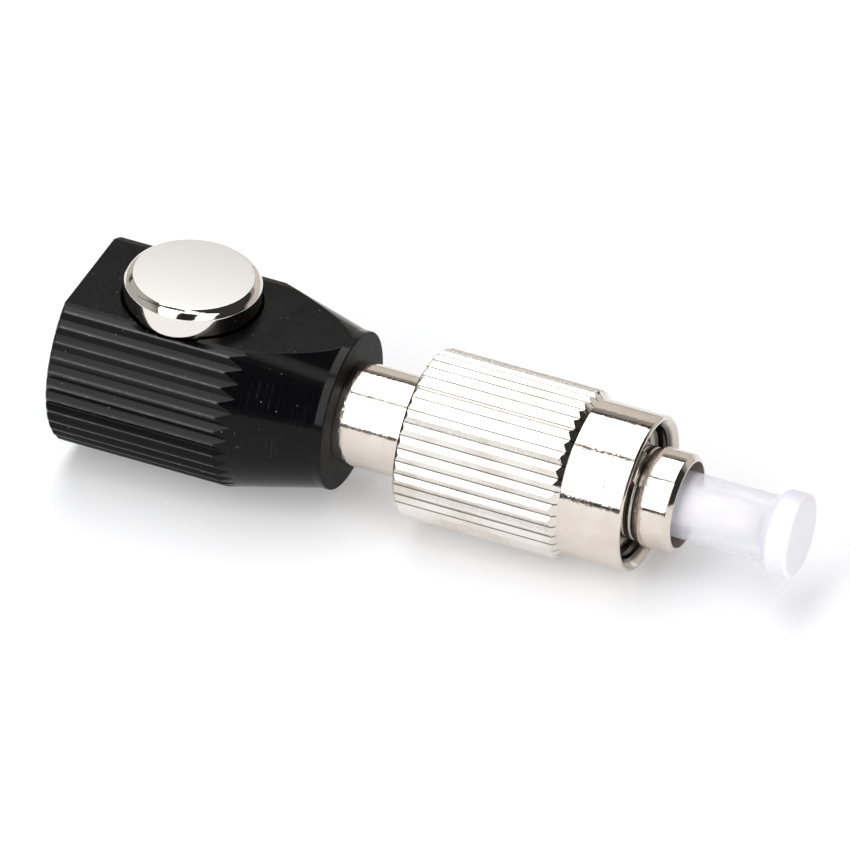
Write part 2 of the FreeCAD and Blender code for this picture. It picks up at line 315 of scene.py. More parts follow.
pocket_tool = skin("pocket_tool", around_z(soften(corner_rows(
    (TOOL_TOP, 0),
    (TOOL_TOP, POCKET_RADIUS),
    (POCKET_FLOOR, POCKET_RADIUS),
    (POCKET_FLOOR, STEM_BORE),
    (STEM_BORE_END, STEM_BORE),
    (STEM_BORE_END, 0),
), reach=0.02, steps=3), whole_turn(columns=180)))
machine(body, pocket_tool)
place_piece(body, "housing", "black_anodised", "body")

# %% [markdown]
# ## Push button
# A turned disc with a polished bevel, hollow below for its spring, on a stem with a cross hole that
# lines up with the fibre when the button is pressed. The disc, recess and stem are one profile. The
# cross hole and the slot for the guide tube's nose are cut afterwards, as on the real stem.

# %% Turn the button
BUTTON_TOP = button_high[2]
BUTTON_RADIUS = (button_high[0] - button_low[0]) / 2
BUTTON_BEVEL = 0.48
BEVEL_CROWN = 0.19
HEAD_UNDERSIDE = BUTTON_TOP - 2.2
RECESS_ROOF = BUTTON_TOP - 0.8
RECESS_RADIUS = BUTTON_RADIUS - 0.45
STEM_RADIUS = 2.2
STEM_END = button_low[2]
BUTTON_TRAVEL = 1.2

button = skin("push_button_piece", around_z(soften(corner_rows(
    (BUTTON_TOP, 0),
    (BUTTON_TOP, BUTTON_RADIUS - BUTTON_BEVEL),
    (BUTTON_TOP - BEVEL_CROWN, BUTTON_RADIUS - BEVEL_CROWN),
    (BUTTON_TOP - BUTTON_BEVEL, BUTTON_RADIUS),
    (HEAD_UNDERSIDE, BUTTON_RADIUS),
    (HEAD_UNDERSIDE, RECESS_RADIUS),
    (RECESS_ROOF, RECESS_RADIUS),
    (RECESS_ROOF, STEM_RADIUS),
    (STEM_END, STEM_RADIUS),
    (STEM_END, 0),
), reach=[0.03, 0.16, 0.05, 0.05, 0.04, 0.05, 0.05, 0.08]), whole_turn(columns=240)))
print("button radius", round(float(BUTTON_RADIUS), 3), "top at", round(float(BUTTON_TOP), 3))

# %% Cut the stem's cross hole and slot
CLAMP_HOLE_RADIUS = 0.6
SLOT_HALF_WIDTH = 0.96
SLOT_DEPTH = 0.66
SLOT_OVERRUN = 0.4


def rod_x(name, start, end, radius, height):
    """A closed cylinder along the fibre's direction, raised to a height."""
    corners = corner_rows((start, 0), (start, radius), (end, radius), (end, 0))
    rows = around_x(corners, whole_turn(columns=48))
    return skin(name, rows + np.array([0, 0, height]))


def block(name, low, high):
    """A closed box: a square loop of four corners, drawn in to a point at both ends."""
    middle, half = (low + high) / 2, (high - low) / 2
    square = np.array([[1, 1], [-1, 1], [-1, -1], [1, -1]])
    draw = np.array([0, 1, 1, 0]).reshape(-1, 1, 1) * square
    ends = np.broadcast_to(np.array([-1, -1, 1, 1]).reshape(-1, 1, 1), (4, 4, 1))
    return skin(name, middle + half * np.concatenate([ends, draw], axis=-1))


machine(button, rod_x("cross_hole", BUTTON_X - STEM_RADIUS - 1, BUTTON_X + STEM_RADIUS + 1,
                      CLAMP_HOLE_RADIUS, BUTTON_TRAVEL))
slot_start = BUTTON_X - STEM_RADIUS
machine(button, block(
    "nose_slot",
    np.array([slot_start - SLOT_OVERRUN, -SLOT_HALF_WIDTH, -SLOT_HALF_WIDTH]),
    np.array([slot_start + SLOT_DEPTH, SLOT_HALF_WIDTH, SLOT_HALF_WIDTH + BUTTON_TRAVEL])))
place_piece(button, "button", "satin_aluminium", "push_button")

# %% [markdown]
# ## Coil springs
# One spring lifts the button and one pushes the ferrule forward. A coil is a circle carried along a
# helix. Its frame needs no guessing: the radius points outwards at every angle, and the third
# direction is square to it and to the wire.

# %% A coil
WIRE_SIDES = 14
TURN_STEPS = 48


def coil(mean_radius, wire, length, turns):
    """Points of a coil along +Z: centre (R cos a, R sin a, rise times a), and round it the wire's radius
    times (cos b outwards + sin b across). The end rows shrink to a point."""
    angle = np.linspace(0, 2 * np.pi * turns, turns * TURN_STEPS + 1)
    angle = np.concatenate([angle[:1], angle, angle[-1:]])[:, None]
    rise = (length - wire) / angle.max()
    lead = np.hypot(mean_radius, rise)
    side = whole_turn(WIRE_SIDES)[None]
    size = np.full_like(angle, wire / 2)
    size[[0, -1]] = 0
    out, across = size * np.cos(side), size * np.sin(side)
    radius = mean_radius + out
    slope, level = rise / lead, mean_radius / lead
    return np.stack([
        radius * np.cos(angle) + across * slope * np.sin(angle),
        radius * np.sin(angle) - across * slope * np.cos(angle),
        wire / 2 + rise * angle + across * level,
    ], axis=-1)


def place_spring(piece, node):
    """Places the spring on the housing in spring steel, in place of its solid, and gives it a mesh of
    its own.
    """
    place_piece(piece, "housing", "spring_steel", node)
    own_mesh(piece)


# %% Wind the button's spring
BUTTON_WIRE = 0.3
spring_low, spring_high = span("button_spring")
button_spring = skin("button_coil", coil(
    (STEM_RADIUS + RECESS_RADIUS) / 2, BUTTON_WIRE, spring_high[2] - spring_low[2], turns=4,
) + np.array([BUTTON_X, 0, spring_low[2]]))
place_spring(button_spring, "button_spring")

# %% Wind the ferrule's spring
FERRULE_WIRE = 0.36
FERRULE_SPRING_RADIUS = 1.75
spring_low, spring_high = span("ferrule_spring")
upright = coil(FERRULE_SPRING_RADIUS, FERRULE_WIRE, spring_high[0] - spring_low[0], turns=6)
ferrule_spring = skin("ferrule_coil", np.stack(
    [upright[..., 2], upright[..., 1], -upright[..., 0]], axis=-1) + np.array([spring_low[0], 0, 0]))
place_spring(ferrule_spring, "ferrule_spring")

# %% [markdown]
# ## Sleeve and guide tube
# The smooth sleeve between body and nut is one turned part with a spigot at each end. The steel guide
# tube in the rear face has a small funnel that leads the fibre in.

# %% Turn the sleeve
SLEEVE_RADIUS = barrel_high[1]
FRONT_SPIGOT = 2.39
SPIGOT_RADIUS = 2.6
TAIL_HOLE = 1.3
TAIL_ROOM = 3.0
frame_rear = frame_low[0]

barrel = skin("sleeve", around_x(soften(corner_rows(
    (barrel_low[0], TUBE_HOLE),
    (barrel_low[0], SPIGOT_RADIUS),
    (BODY_LENGTH, SPIGOT_RADIUS),
    (BODY_LENGTH, SLEEVE_RADIUS),
    (frame_rear, SLEEVE_RADIUS),
    (frame_rear, FRONT_SPIGOT),
    (barrel_high[0], FRONT_SPIGOT),
    (barrel_high[0], TAIL_HOLE),
    (barrel_high[0] - TAIL_ROOM, TAIL_HOLE),
    (barrel_high[0] - TAIL_ROOM, TUBE_HOLE),
), reach=0.04, closed=True), whole_turn(columns=192)), closed=True)
place_piece(barrel, "housing", "bright_nickel", "barrel")

# %% Turn the guide tube
guide_low, guide_high = span("rear_guide_tube")
GUIDE_RADIUS = guide_high[1]
GUIDE_BORE = 0.55
GUIDE_FUNNEL = 0.25
guide_tube = skin("entry_tube", around_x(soften(corner_rows(
    (guide_low[0], GUIDE_BORE + GUIDE_FUNNEL),
    (guide_low[0], GUIDE_RADIUS),
    (guide_high[0], GUIDE_RADIUS),
    (guide_high[0], GUIDE_BORE),
    (guide_low[0] + GUIDE_FUNNEL, GUIDE_BORE),
), reach=0.04, closed=True), whole_turn(columns=96)), closed=True)
place_piece(guide_tube, "housing", "tube_steel", "rear_guide_tube")

# %% [markdown]
# ## Coupling nut
# The nut has rolled teeth on its grip, a smooth collar and a fine thread inside. Teeth and profile are
# made as on the body, but only the rows with teeth follow them. The smooth rows have even columns,
# because a polished collar shows every uneven one. The thread is drawn too: inside the bore the radius
# is a wave along a helix, where the place along the axis, counted in pitches, less the angle, counted
# in turns, gives the phase.

# %% Turn the nut
KNURL_RADIUS = nut_high[2]
NUT_TEETH = 39
NUT_TOOTH_DEPTH = 0.22
WORN_TIP = 0.02
NUT_GROOVE = -np.pi / 2
KNURL_FRONT = nut_low[0] + 9.77
COLLAR_REAR = KNURL_FRONT + 0.5
COLLAR_RADIUS = KNURL_RADIUS - 0.41
COLLAR_EDGE = 0.12
NUT_REAR_CHAMFER = 0.3
NUT_BORE = SLEEVE_RADIUS + 0.09
NUT_REAR_WALL = 1.47
THREAD_RADIUS = KNURL_RADIUS - 1.12
THREAD_CHAMFER = 0.48
THREAD_PITCH = 0.75
THREAD_DEPTH = 0.38
FLANK_SLOPE = 1.3
ROOT_SHARE = 0.15
THREAD_FRONT = nut_high[0] - THREAD_CHAMFER - 0.1
THREAD_REAR = THREAD_FRONT - 7.5
STEPS_PER_PITCH = 9

nut_angles = tooth_angles(NUT_TEETH, NUT_GROOVE)
dice = np.random.default_rng(39)
tooth_wear = np.repeat(dice.uniform(0, WORN_TIP, NUT_TEETH), len(TOOTH_STATIONS))
nut_limit = toothed_radius(
    nut_angles, NUT_TEETH, NUT_GROOVE, KNURL_RADIUS - tooth_wear, NUT_TOOTH_DEPTH - tooth_wear)
nut_chamfer_start = KNURL_RADIUS - NUT_REAR_CHAMFER
nut_cone_run = (COLLAR_REAR - KNURL_FRONT) / (KNURL_RADIUS - COLLAR_RADIUS)
tooth_end = KNURL_FRONT + (KNURL_RADIUS - nut_limit) * nut_cone_run
bore_end = nut_low[0] + NUT_REAR_WALL
nut_profile = soften(corner_rows(
    (THREAD_REAR, THREAD_RADIUS),
    (bore_end, THREAD_RADIUS),
    (bore_end, NUT_BORE),
    (nut_low[0], NUT_BORE),
    (nut_low[0], nut_chamfer_start),
    (nut_low[0] + nut_limit - nut_chamfer_start, nut_limit),
    (tooth_end, nut_limit),
    (COLLAR_REAR, COLLAR_RADIUS),
    (nut_high[0] - COLLAR_EDGE, COLLAR_RADIUS),
    (nut_high[0], COLLAR_RADIUS - COLLAR_EDGE),
    (nut_high[0], THREAD_RADIUS + THREAD_CHAMFER),
    (nut_high[0] - THREAD_CHAMFER, THREAD_RADIUS),
    (THREAD_FRONT, THREAD_RADIUS),
), reach=[0.03, 0.03, 0.05, 0.05, 0.05, 0.04, 0.03, 0.04, 0.04, 0.04, 0.04], steps=5)
even_angles = NUT_GROOVE + whole_turn(len(nut_angles))
has_teeth = np.ptp(nut_profile[..., 1], axis=1, keepdims=True) > TINY
nut_columns = np.where(has_teeth, nut_angles, even_angles)
print("rows that follow the teeth:", int(has_teeth.sum()), "of", len(nut_profile))

# %% Cut the nut's thread
thread_rows = int((THREAD_FRONT - THREAD_REAR) / THREAD_PITCH * STEPS_PER_PITCH)
thread_place = np.linspace(THREAD_FRONT, THREAD_REAR, thread_rows + 2)[1:-1, None]
phase = (thread_place / THREAD_PITCH - even_angles / (2 * np.pi)) % 1
crest = np.clip(FLANK_SLOPE * (1 - np.abs(1 - 2 * phase)) - ROOT_SHARE, 0, 1)
to_end = np.minimum(THREAD_FRONT - thread_place, thread_place - THREAD_REAR)
run_out = np.clip(to_end / THREAD_PITCH, 0, 1)
thread_radius = THREAD_RADIUS - THREAD_DEPTH * crest * run_out
thread_profile = np.stack(np.broadcast_arrays(thread_place, thread_radius), axis=-1)
nut_columns = np.concatenate([nut_columns, np.broadcast_to(even_angles, thread_radius.shape)])
nut_profile = np.concatenate([nut_profile, thread_profile])
nut = skin("knurled_nut", around_x(nut_profile, nut_columns), closed=True)
place_piece(nut, "nut", "bright_nickel", "coupling_nut")

# %% [markdown]
# ## Plug frame
# Inside the nut sits the plug's frame: a flange that keeps the nut on, a neck with two turned grooves,
# a bevelled ring at the front, and a key that finds the slot of the socket. The key is a softened
# rectangle with a crowned top, carried along the axis and joined on.

# %% Turn the frame
RING_RADIUS = 3.0
RING_BEVEL = 0.3
RING_BORE = 2.6
RING_REAR = frame_high[0] - 2.0
NECK_LENGTH = 1.4
NECK_RADIUS = RING_RADIUS - 0.18
GROOVE_HALF = 0.11
GROOVE_RADIUS = NECK_RADIUS - 0.08
FLANGE_RADIUS = frame_high[1]
FLANGE_LENGTH = 1.0
FRAME_BORE = 2.4
SHOULDER_FRONT = frame_high[0] - 3.8
SHOULDER_REAR = SHOULDER_FRONT - 0.8
SHOULDER_BORE = 1.75

neck_start = RING_REAR - NECK_LENGTH
groove_middles = neck_start + NECK_LENGTH * np.array([1, 2]) / 3
groove_corners = [
    corner for middle in groove_middles for corner in (
        (middle - GROOVE_HALF, NECK_RADIUS),
        (middle, GROOVE_RADIUS),
        (middle + GROOVE_HALF, NECK_RADIUS),
    )
]
plug_frame = skin("plug_frame_piece", around_x(soften(corner_rows(
    (frame_low[0], FRAME_BORE),
    (frame_low[0], FLANGE_RADIUS),
    (frame_low[0] + FLANGE_LENGTH, FLANGE_RADIUS),
    (frame_low[0] + FLANGE_LENGTH, RING_RADIUS),
    (neck_start, RING_RADIUS),
    (neck_start, NECK_RADIUS),
    *groove_corners,
    (RING_REAR, NECK_RADIUS),
    (RING_REAR, RING_RADIUS),
    (frame_high[0] - RING_BEVEL, RING_RADIUS),
    (frame_high[0], RING_RADIUS - RING_BEVEL),
    (frame_high[0], RING_BORE),
    (SHOULDER_FRONT, RING_BORE),
    (SHOULDER_FRONT, SHOULDER_BORE),
    (SHOULDER_REAR, SHOULDER_BORE),
    (SHOULDER_REAR, FRAME_BORE),
), reach=0.04, closed=True), whole_turn(columns=216)), closed=True)
print("neck grooves at", groove_middles.round(2))

# %% Join on the key
KEY_HALF_WIDTH = 1.0
KEY_ROOT = 2.71
KEY_TOP = 3.55
KEY_LENGTH = 6.0
KEY_FRONT = nut_high[0] - 0.05
KEY_ANGLE = np.radians(29)
KEY_SOFT = 0.1

key_side = np.sqrt(KEY_TOP ** 2 - KEY_HALF_WIDTH ** 2)
key_loop = soften(corner_rows(
    (-KEY_HALF_WIDTH, KEY_ROOT),
    (KEY_HALF_WIDTH, KEY_ROOT),
    (KEY_HALF_WIDTH, key_side),
    (0, KEY_TOP),
    (-KEY_HALF_WIDTH, key_side),
), reach=[0.05, 0.05, KEY_SOFT, 0.6, KEY_SOFT], closed=True)[:, 0]
key_middle = np.array([0, (KEY_ROOT + KEY_TOP) / 2])
key_rear = KEY_FRONT - KEY_LENGTH
key_ends = corner_rows((key_rear, 0), (key_rear, 1), (KEY_FRONT, 1), (KEY_FRONT, 0))
key_run = soften(key_ends, KEY_SOFT)[:, 0]
across, up = np.moveaxis(key_middle + key_run[:, 1, None, None] * (key_loop - key_middle), -1, 0)
key = skin("plug_key", np.stack(np.broadcast_arrays(
    key_run[:, :1],
    across * np.cos(KEY_ANGLE) - up * np.sin(KEY_ANGLE),
    across * np.sin(KEY_ANGLE) + up * np.cos(KEY_ANGLE)), axis=-1))
machine(plug_frame, key, "UNION")
place_piece(plug_frame, "housing", "bright_nickel", "plug_frame")

# %% [markdown]
# ## Ferrule and dust cap
# The ceramic ferrule carries the fibre's end, and a soft moulded cap keeps it clean. The cap is a
# closed shell with a real bore, because its plastic lets light through and the bore shows.

# %% Turn the ferrule
FERRULE_RADIUS = ferrule_high[1]
FERRULE_TAPER = 0.35
FIBRE_BORE = 0.063
FUNNEL_RADIUS = 0.35
ferrule = skin("ferrule_piece", around_x(soften(corner_rows(
    (ferrule_low[0], FUNNEL_RADIUS),
    (ferrule_low[0], FERRULE_RADIUS),
    (ferrule_high[0] - FERRULE_TAPER, FERRULE_RADIUS),
    (ferrule_high[0], FERRULE_RADIUS - FERRULE_TAPER),
    (ferrule_high[0], FIBRE_BORE),
    (ferrule_low[0] + FUNNEL_RADIUS, FIBRE_BORE),
), reach=[0.03, 0.05, 0.1, 0.15, 0.02, 0.02], closed=True), whole_turn(columns=96)), closed=True)
place_piece(ferrule, "ferrule_unit", "white_ceramic", "ferrule")

# %% Mould the cap
CAP_RADIUS = 2.0
CAP_BORE = 1.27
CAP_BORE_END = ferrule_high[0] + 0.5
CAP_HEAD_RADIUS = cap_high[1]
CAP_HEAD = cap_high[0] - 1.34
CAP_CONE = CAP_HEAD - 0.4
cap = skin("dust_cap_piece", around_x(soften(corner_rows(
    (CAP_BORE_END, 0),
    (CAP_BORE_END, CAP_BORE),
    (cap_low[0], CAP_BORE),
    (cap_low[0], CAP_RADIUS),
    (CAP_CONE, CAP_RADIUS),
    (CAP_HEAD, CAP_HEAD_RADIUS),
    (cap_high[0], CAP_HEAD_RADIUS),
    (cap_high[0], 0),
), reach=[0.2, 0.1, 0.1, 0.25, 0.15, 0.32]), whole_turn(columns=144)))
place_piece(cap, "cap", "cap_plastic", "dust_cap")

# %% [markdown]
# ## Shader maths
# A finish is a sum of small patterns. Wiring each Math node by hand hides the idea, so one small class
# wraps a node's output and turns Python's operators into nodes. Any other node comes from its one
# method, which takes the type, the settings and the sockets.

# %% A field over a surface
def set_sockets(node, sockets):
    """Sets a node's sockets: a field is linked, and any other value is stored."""
    for key, value in sockets.items():
        if isinstance(value, Field):
            value.tree.links.new(value.socket, node.inputs[key])
        else:
            node.inputs[key].default_value = value


class Field:
    """One output of a shader node, a value that changes over a surface."""

    def __init__(self, tree, socket):
        self.tree, self.socket = tree, socket

    def add(self, kind, settings, sockets, output=0):
        """Adds a node: its type, then its settings, then the values or links of its sockets."""
        node = self.tree.nodes.new("ShaderNode" + kind)
        for name, value in settings.items():
            setattr(node, name, value)
        set_sockets(node, sockets)
        return Field(self.tree, node.outputs[output])

    def math(self, operation, *values):
        """Adds a Math node that takes the values in order."""
        return self.add("Math", {"operation": operation}, dict(enumerate(values)))

    def __add__(self, other):
        return self.math("ADD", self, other)

    def __sub__(self, other):
        return self.math("SUBTRACT", self, other)

    def __rsub__(self, other):
        return self.math("SUBTRACT", other, self)

    def __mul__(self, other):
        return self.math("MULTIPLY", self, other)

    def __mod__(self, other):
        return self.math("FLOORED_MODULO", self, other)

    def __abs__(self):
        return self.math("ABSOLUTE", self)

    __radd__ = __add__
    __rmul__ = __mul__


# %% Masks and colours
def ramp(field, low, high):
    """0 below low, 1 above high and a smooth step between."""
    return field.add("MapRange", {"interpolation_type": "SMOOTHSTEP"},
                     {"Value": field, "From Min": low, "From Max": high})


def past(field, edge, width):
    """0 before an edge and 1 past it, with a smooth step of that width."""
    return ramp(field, edge, edge + width)


def blend(mask, first, second):
    """The first colour where the mask is 0, the second where it is 1."""
    return mask.add("Mix", {"data_type": "RGBA"}, {0: mask, 6: first, 7: second}, output=2)


def distance(first, second):
    """The root of first squared plus second squared."""
    squares = first * first + second * second
    return squares.math("SQRT", squares)


def ridge_to_groove(y, z, teeth, groove):
    """0 on a ridge and 1 in a groove: the angle round the fibre, counted in teeth and folded."""
    turns = (y.math("ARCTAN2", z, y) - groove) * (teeth / (2 * np.pi))
    return abs(1 - 2 * (turns % 1))


# %% Patterns
def noise(place, scale, detail=2.0):
    """Cloudy values about 0.5, with that many clouds in a millimetre."""
    return place.add("TexNoise", {}, {"Vector": place, "Scale": scale, "Detail": detail})


def dots(place, scale, inner, outer):
    """1 at random points, with that many along a millimetre, and 0 away from them."""
    nearest = place.add("TexVoronoi", {}, {"Vector": place, "Scale": scale})
    return 1 - ramp(nearest, inner, outer)


def stretch(place, factors):
    """The same place with each axis scaled by its own factor."""
    return place.add("VectorMath", {"operation": "MULTIPLY"}, {0: place, 1: factors})


def bump(height, strength, depth):
    """A normal that leans with the height. The depth is in metres."""
    return height.add("Bump", {}, {"Strength": strength, "Distance": depth, "Height": height})


# %% Start a finish
FINISHES = {}


def start_finish(slot):
    """A material for a slot: its shader, the place on the piece in millimetres, and x, y and z."""
    material = bpy.data.materials.new(slot)
    material.use_nodes = True
    tree = material.node_tree
    metres = Field(tree, tree.nodes.new("ShaderNodeTexCoord").outputs["Object"])
    place = metres.add("VectorMath", {"operation": "SCALE"}, {0: metres, "Scale": 1 / MM})
    split = place.add("SeparateXYZ", {}, {0: place})
    axes = [Field(tree, output) for output in split.socket.node.outputs]
    FINISHES[slot] = material
    return tree.nodes["Principled BSDF"], place, axes


def end_finish(slot, shader, sockets):
    """Sets or links the shader's sockets and says how many nodes the finish takes."""
    set_sockets(shader, sockets)
    print(slot, "takes", len(FINISHES[slot].node_tree.nodes), "nodes")


# %% [markdown]
# ## Black anodised aluminium
# Anodising leaves a hard glassy layer with black dye in it, so it shines like a dark lacquer and not
# like metal. The milled flat is satin and the turned cone is glossier, with fine rings and a few
# scratches. Hands polish the ridges of the teeth, the cutter left a bare burr on the pocket's edge, and
# dust shows as pale specks. The ridges are also drawn paler, partly as wear and partly as a painted
# highlight. Each of these has a mask, made from the place on the piece.

# %% Where the black body is worn, and where its ridges carry a painted highlight
RIDGE_POLISH = 0.95

shader, place, (x, y, z) = start_finish("black_anodised")
out = distance(y, z)
fall = ridge_to_groove(y, z, BODY_TEETH, BODY_GROOVE)
cone_radius = BODY_RADIUS - (x - SERRATED_LENGTH) * (1 / cone_run)
on_cone = past(x, SERRATED_LENGTH, 0.1) * past(out - cone_radius, -0.06, 0.04)
on_flat = past(z, FLAT_HEIGHT - 0.03, 0.02)
on_face = past(x, BODY_LENGTH - 0.03, 0.02)
on_ridge = (1 - ramp(fall, 0.03, 0.16)) * past(out, BODY_RADIUS - 0.08, 0.04) * (1 - on_cone)
# Paler ridges: partly wear, and partly a painted highlight along each ridge.
ridge_wear_and_highlight = on_ridge * (0.4 + 0.6 * ramp(noise(place, 2.2, detail=3.0), 0.45, 0.75))
along_teeth = past(x, 0.1, 0.1) * (1 - past(x, SERRATED_LENGTH + 0.9, 0.1))
polish = along_teeth * (1 - on_cone) * (1 - on_flat) * (1 - ramp(fall, 0.0, 0.36)) * RIDGE_POLISH
from_button = distance(x - BUTTON_X, y)
burr = (1 - past(from_button, POCKET_RADIUS + 0.01, 0.04)) * (
    past(z, POCKET_FLOOR + 1.2, 0.4) * (1 - past(z, FLAT_HEIGHT - 0.6, 0.3)))
bare = burr * (1 - past(x, BUTTON_X, 1)) * ramp(noise(place, 3.0, detail=3.0), 0.45, 0.6)
speck = dots(place, 1.7, 0.03, 0.075) * ramp(noise(place, 0.45), 0.45, 0.6)
lines = abs(noise(stretch(place, (6.0, 0.16, 0.16)), 1.0, detail=0.0) - 0.5)
scratch = on_cone * (1 - ramp(lines, 0.001, 0.006)) * ramp(noise(place, 0.7), 0.5, 0.62)
print("masks for the black body:", len(FINISHES["black_anodised"].node_tree.nodes), "nodes so far")

# %% Black anodised finish
DYE = (0.002, 0.002, 0.0024, 1)
BARE_METAL = (0.62, 0.62, 0.64, 1)

grain = noise(place, 14.0, detail=3.0)
cloud = noise(place, 0.6)
rings = noise(stretch(place, (26.0, 0.5, 0.5)), 1.0, detail=3.0)
uneven = (cloud - 0.5) * 0.1 + (grain - 0.5) * 0.1
end_finish("black_anodised", shader, {
    # Base colour: dust, scratches, the bare burr, and ridges made paler by wear and a painted highlight.
    "Base Color": blend(speck * 0.4 + ridge_wear_and_highlight * 0.12 + scratch * 0.06 + bare, DYE, BARE_METAL),
    "Metallic": bare,
    "Roughness": 0.17 + on_flat * 0.1 + on_face * 0.35 + uneven + speck * 0.3,
    "IOR": 1.24,
    "Coat Weight": polish,
    "Coat Roughness": 0.14,
    "Coat IOR": 1.32,
    "Normal": bump(grain * (1 - on_cone * 0.8) + rings * on_cone * 0.8, 0.25, 0.006 * MM),
})

# %% [markdown]
# ## Bright nickel
# Nickel plate is a warm mirror. What makes it look real is that the mirror isn't perfect: faint turning
# marks and a slow ripple in the brass below make the edges of the reflections ragged. The grooves of the
# grip are darkened with painted shade and a little grime, and the inside of the nut and its thread with
# painted shade.

# %% Where the nickel is dull, dirty or in painted shade
shader, place, (x, y, z) = start_finish("bright_nickel")
out = distance(y, z)
fall = ridge_to_groove(y, z, NUT_TEETH, NUT_GROOVE)
on_knurl = past(out, COLLAR_RADIUS + 0.02, 0.03) * past(x, nut_low[0] - 0.5, 0.1)
on_grip = on_knurl * (1 - past(x, KNURL_FRONT - 0.02, 0.04))
streaks = ramp(noise(stretch(place, (0.7, 3.0, 3.0)), 1.0, detail=3.0), 0.3, 0.55)
# Painted shade in the grip's grooves, with a little grime streaked along them.
groove_shade_and_grime = on_knurl * ramp(fall, 0.8, 0.96) * (0.9 + 0.1 * streaks)
on_key = past(out, RING_RADIUS + 0.03, 0.05) * (1 - past(out, KEY_TOP, 0.05))
in_mouth = past(x, bore_end, 0.5) * (1 - past(x, RING_REAR - 0.3, 0.3))
# Painted shade inside the nut's mouth, away from the key.
inside_nut = (1 - past(out, THREAD_RADIUS + 0.1, 0.2)) * in_mouth * (1 - on_key)
# Deeper painted shade at the thread's root.
thread_root_shade = inside_nut * past(out, THREAD_RADIUS - 0.25, 0.15)
in_ring = (1 - past(out, RING_BORE + 0.01, 0.02)) * past(x, SHOULDER_FRONT - 0.05, 0.05)
pit = dots(place, 1.3, 0.03, 0.06)
print("masks for the nickel:", len(FINISHES["bright_nickel"].node_tree.nodes), "nodes so far")

# %% Bright nickel finish
NICKEL = (0.745, 0.685, 0.62, 1)
GRIP_NICKEL = (0.8, 0.77, 0.73, 1)
TARNISHED = (0.62, 0.55, 0.475, 1)
# Dark brown for painted shade and grime.
GRIME_AND_SHADE = (0.05, 0.042, 0.034, 1)

ripple = noise(stretch(place, (6.0, 3.5, 3.5)), 1.0)
turning = noise(stretch(place, (32.0, 0.8, 0.8)), 1.0)
tarnish = noise(place, 0.5, detail=3.0)
clean = blend(on_knurl, NICKEL, GRIP_NICKEL)
plate = blend(ramp(tarnish, 0.35, 0.75) * 0.6 + pit * 0.4, clean, TARNISHED)
dull = on_grip * 0.16 + in_ring * 0.3 + inside_nut * 0.1 + pit * 0.2
end_finish("bright_nickel", shader, {
    # Base colour: painted shade and a little grime in the grip's grooves, painted shade inside the nut,
    # darker at the thread's root.
    "Base Color": blend(groove_shade_and_grime * 0.92 + inside_nut * 0.38 + thread_root_shade * 0.5, plate, GRIME_AND_SHADE),
    "Metallic": 1.0,
    "Roughness": 0.08 + dull + ramp(tarnish, 0.3, 0.8) * 0.05 + (turning - 0.5) * 0.06,
    "Normal": bump(ripple + turning * 0.15, 1.0, 0.008 * MM),
})

# %% [markdown]
# ## Satin aluminium
# The button's top is blasted to an even satin, and its bevel and side are cut bright on the lathe. The
# height and the distance from the button's axis tell the two apart.

# %% Satin aluminium finish
BRIGHT_CUT = (0.78, 0.74, 0.69, 1)
SATIN_DARK = (0.66, 0.64, 0.62, 1)
SATIN_PALE = (0.7, 0.685, 0.67, 1)

shader, place, (x, y, z) = start_finish("satin_aluminium")
out = distance(x - BUTTON_X, y)
on_top = past(z, BUTTON_TOP - 0.03, 0.025) * (1 - past(out, BUTTON_RADIUS - BUTTON_BEVEL - 0.04, 0.06))
blast = noise(place, 9.0, detail=3.0)
cloud = noise(place, 0.8)
lathe = noise(stretch(place, (1.0, 1.0, 30.0)), 1.0)
end_finish("satin_aluminium", shader, {
    "Base Color": blend(on_top, BRIGHT_CUT, blend(blast, SATIN_DARK, SATIN_PALE)),
    "Metallic": 1.0,
    "Roughness": 0.07 + on_top * 0.31 + (cloud - 0.5) * 0.02,
    "Normal": bump(blast * on_top * 0.15 + lathe * (1 - on_top) * 0.3, 0.18, 0.008 * MM),
})

# %% [markdown]
# ## Plastics, ceramic and steel
# The cap is a milky plastic. Its thin sleeve lets about half of the light through, so the ferrule inside
# shows faintly. Its thick head lets none through, but light spreads inside it, so its rim is drawn a
# little darker and its end a little paler than paint would be. The hidden tube, the ferrule and the
# springs need less, but each has its own grain.

# %% Cap plastic
MILK_DARK = (0.86, 0.85, 0.93, 1)
MILK_PALE = (0.91, 0.9, 0.96, 1)
# The head's rim is painted shade and its end painted light, for light that spreads inside the head.
RIM_PAINTED_SHADE = (0.77, 0.76, 0.83, 1)
END_PAINTED_LIGHT = (0.97, 0.955, 1, 1)
SLEEVE_ALPHA = 0.44

shader, place, (x, y, z) = start_finish("cap_plastic")
haze = noise(stretch(place, (0.5, 1.2, 1.2)), 1.0)
on_head = ramp(x, CAP_CONE - 0.3, CAP_HEAD)
# Painted shade on the head's rim, painted light on its end face.
head = blend(past(x, cap_high[0] - 0.3, 0.25), RIM_PAINTED_SHADE, END_PAINTED_LIGHT)
end_finish("cap_plastic", shader, {
    "Base Color": blend(on_head, blend(ramp(haze, 0.3, 0.7), MILK_DARK, MILK_PALE), head),
    "Roughness": 0.26 + (haze - 0.5) * 0.15 + on_head * 0.1,
    "IOR": 1.4,
    "Alpha": SLEEVE_ALPHA + on_head * (1 - SLEEVE_ALPHA),
})

# %% Ceramic, tube plastic and the two steels
shader, place, axes = start_finish("white_ceramic")
grain = noise(place, 6.0)
end_finish("white_ceramic", shader, {
    "Base Color": blend(grain, (0.86, 0.85, 0.82, 1), (0.92, 0.91, 0.89, 1)),
    "Roughness": 0.14 + grain * 0.06,
    "Subsurface Weight": 0.2,
    "Subsurface Scale": 0.4 * MM,
})

